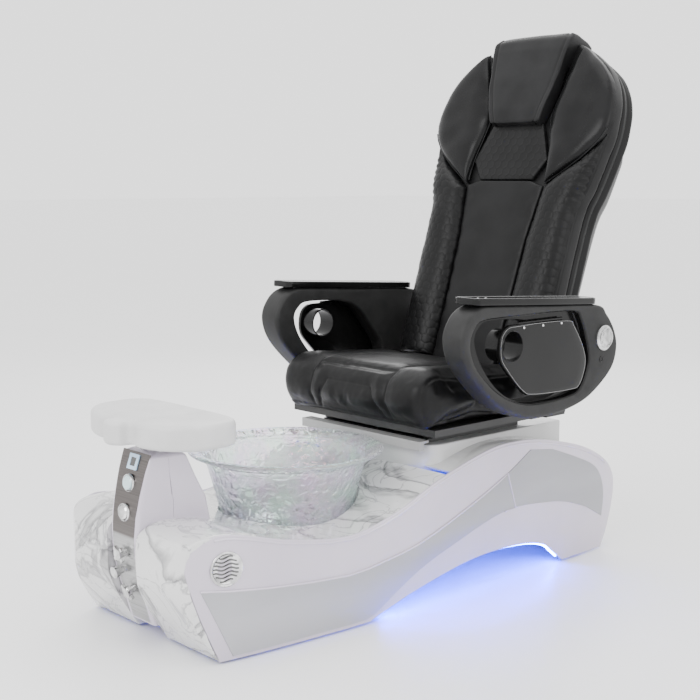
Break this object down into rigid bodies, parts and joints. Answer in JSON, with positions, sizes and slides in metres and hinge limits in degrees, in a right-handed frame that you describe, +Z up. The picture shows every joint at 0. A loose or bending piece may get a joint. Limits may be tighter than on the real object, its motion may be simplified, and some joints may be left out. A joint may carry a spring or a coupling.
{
  "type": "pedicure spa chair",
  "caption": "Pedicure spa chair: reclining massage seat with flip-up armrests sliding on a wave-shaped foot-spa base with a glass bowl, footrest pillar and tap strip.",
  "frame": {"origin": "on the floor under the centre of the chair's overall box", "axes": "+X to the sitter's left, +Y towards the chair's back (the sitter faces -Y), +Z up"},
  "size_m": [0.798, 1.5992, 1.4671],
  "materials": {
    "pearl_shell": "gloss",
    "silver_inlay": "satin",
    "marble_skin": "gloss",
    "white_gloss": "gloss",
    "footrest_white": "satin",
    "bowl_glass": "gloss",
    "brushed_panel": "satin",
    "polished_chrome": "polished",
    "button_face": "polished",
    "display_plate": "gloss",
    "screen_black": "gloss",
    "grey_strip": "satin",
    "black_frame": "satin",
    "steel_frame": "satin",
    "steel_shaft": "polished",
    "motor_grey": "satin",
    "brass_valve": "satin",
    "pump_black": "matte",
    "pipe_metal": "satin",
    "rubber_black": "matte",
    "led_blue": "gloss",
    "panel_grey": "satin",
    "seat_leather": "satin",
    "back_leather": "satin",
    "wing_leather": "gloss",
    "headrest_leather": "satin",
    "band_leather": "matte",
    "rear_plastic": "matte",
    "arm_plastic": "satin",
    "tray_gloss": "gloss",
    "roller_nylon": "satin",
    "impeller_white": "satin"
  },
  "bodies": {
    "base": {"base_frame": "steel_frame", "levelling_feet": "rubber_black", "side_shell_left": "pearl_shell", "side_shell_right": "pearl_shell", "side_inlay_left": "silver_inlay", "side_inlay_right": "silver_inlay", "side_grilles": "polished_chrome", "front_fascia": "marble_skin", "deck": "marble_skin", "tail_cover": "pearl_shell", "service_panel": "panel_grey", "led_strips": "led_blue", "pillar": "pearl_shell", "control_strip": "brushed_panel", "display_bezel": "display_plate", "display_screen": "screen_black", "bowl": "bowl_glass", "bowl_seal": "rubber_black", "drain_body": "pump_black", "jet_cover": "polished_chrome", "jet_motor": "pump_black", "mixing_valve": "brass_valve", "discharge_pump": "pump_black", "water_pipes": "pipe_metal", "pedestal": "white_gloss", "shelf_strip": "grey_strip", "slide_rails": "black_frame"},
    "jet_button": {"jet_button": "button_face"},
    "light_button": {"light_button": "polished_chrome"},
    "hot_knob": {"hot_knob": "polished_chrome"},
    "cold_knob": {"cold_knob": "polished_chrome"},
    "sprayer": {"sprayer": "polished_chrome"},
    "footrest": {"footrest_posts": "polished_chrome", "footrest_pad": "footrest_white"},
    "stopper": {"drain_stopper": "polished_chrome"},
    "impeller": {"jet_impeller": "impeller_white"},
    "screw": {"slide_screw": "steel_shaft"},
    "seat": {"seat_carriage": "black_frame", "seat_pan": "black_frame", "seat_cushion": "seat_leather", "recline_motor": "motor_grey", "arm_pivot_left": "polished_chrome", "arm_pivot_right": "polished_chrome"},
    "back": {"back_frame": "steel_frame", "rear_shell": "rear_plastic", "back_band": "band_leather", "back_cushion": "back_leather", "shoulder_wing_left": "wing_leather", "shoulder_wing_right": "wing_leather", "headrest": "headrest_leather"},
    "massager": {"massage_carriage": "motor_grey"},
    "rollers": {"massage_rollers": "roller_nylon"},
    "arm_left": {"armrest_left": "arm_plastic"},
    "arm_right": {"armrest_right": "arm_plastic"},
    "tray_left": {"arm_tray_left": "tray_gloss"},
    "tray_right": {"arm_tray_right": "tray_gloss"},
    "flap_left": {"cup_tray_left": "tray_gloss"},
    "flap_right": {"cup_tray_right": "tray_gloss"}
  },
  "joints": [
    {"name": "seat_slide", "type": "slide", "parent": "base", "child": "seat", "axis": [0, 1, 0], "range_m": [-0.08, 0.08]},
    {"name": "screw_spin", "type": "hinge", "parent": "base", "child": "screw", "pos_m": [0, 0.20747, 0.403], "axis": [0, 1, 0], "range_deg": [-2900, 2900]},
    {"name": "back_recline", "type": "hinge", "parent": "seat", "child": "back", "pos_m": [0, 0.46747, 0.47], "axis": [-1, 0, 0], "range_deg": [-8, 30]},
    {"name": "massage_lift", "type": "slide", "parent": "back", "child": "massager", "axis": [0, 0.3256, 0.9455], "range_m": [-0.22, 0.34]},
    {"name": "roller_spin", "type": "hinge", "parent": "massager", "child": "rollers", "pos_m": [0, 0.56956, 0.84943], "axis": [1, 0, 0], "continuous": true},
    {"name": "arm_lift_left", "type": "hinge", "parent": "seat", "child": "arm_left", "pos_m": [0.349, 0.51247, 0.631], "axis": [-1, 0, 0], "range_deg": [0, 60]},
    {"name": "arm_lift_right", "type": "hinge", "parent": "seat", "child": "arm_right", "pos_m": [-0.349, 0.51247, 0.631], "axis": [-1, 0, 0], "range_deg": [0, 60]},
    {"name": "tray_swivel_left", "type": "hinge", "parent": "arm_left", "child": "tray_left", "pos_m": [0.328, 0.03141, 0.74898], "axis": [0, -0.0593, -0.9982], "range_deg": [0, 90]},
    {"name": "tray_swivel_right", "type": "hinge", "parent": "arm_right", "child": "tray_right", "pos_m": [-0.328, 0.03141, 0.74898], "axis": [0, 0.0593, 0.9982], "range_deg": [0, 90]},
    {"name": "cup_flap_left", "type": "hinge", "parent": "arm_left", "child": "flap_left", "pos_m": [0.372, 0.25747, 0.694], "axis": [0, -1, 0], "range_deg": [0, 90]},
    {"name": "cup_flap_right", "type": "hinge", "parent": "arm_right", "child": "flap_right", "pos_m": [-0.372, 0.25747, 0.694], "axis": [0, 1, 0], "range_deg": [0, 90]},
    {"name": "footrest_height", "type": "slide", "parent": "base", "child": "footrest", "axis": [0, 0, 1], "range_m": [0, 0.05]},
    {"name": "jet_press", "type": "slide", "parent": "base", "child": "jet_button", "axis": [0, 0.9721, -0.2346], "range_m": [0, 0.003], "stiffness_N_per_m": 400},
    {"name": "light_press", "type": "slide", "parent": "base", "child": "light_button", "axis": [0, 0.9844, -0.176], "range_m": [0, 0.003], "stiffness_N_per_m": 400},
    {"name": "hot_turn", "type": "hinge", "parent": "base", "child": "hot_knob", "pos_m": [0, -0.75798, 0.212], "axis": [0, -0.9972, -0.0745], "range_deg": [0, 90]},
    {"name": "cold_turn", "type": "hinge", "parent": "base", "child": "cold_knob", "pos_m": [0, -0.73834, 0.122], "axis": [0, -0.9544, -0.2984], "range_deg": [-90, 0]},
    {"name": "sprayer_pull", "type": "slide", "parent": "base", "child": "sprayer", "axis": [0, -0.9793, -0.2023], "range_m": [0, 0.08]},
    {"name": "stopper_lift", "type": "slide", "parent": "base", "child": "stopper", "axis": [0, 0, 1], "range_m": [0, 0.008]},
    {"name": "impeller_spin", "type": "hinge", "parent": "base", "child": "impeller", "pos_m": [0, -0.34053, 0.2], "axis": [0, 0, 1], "continuous": true}
  ],
  "couplings": [
    {"joint": "screw_spin", "follows": "seat_slide", "rad_per_m": 628.32}
  ]
}
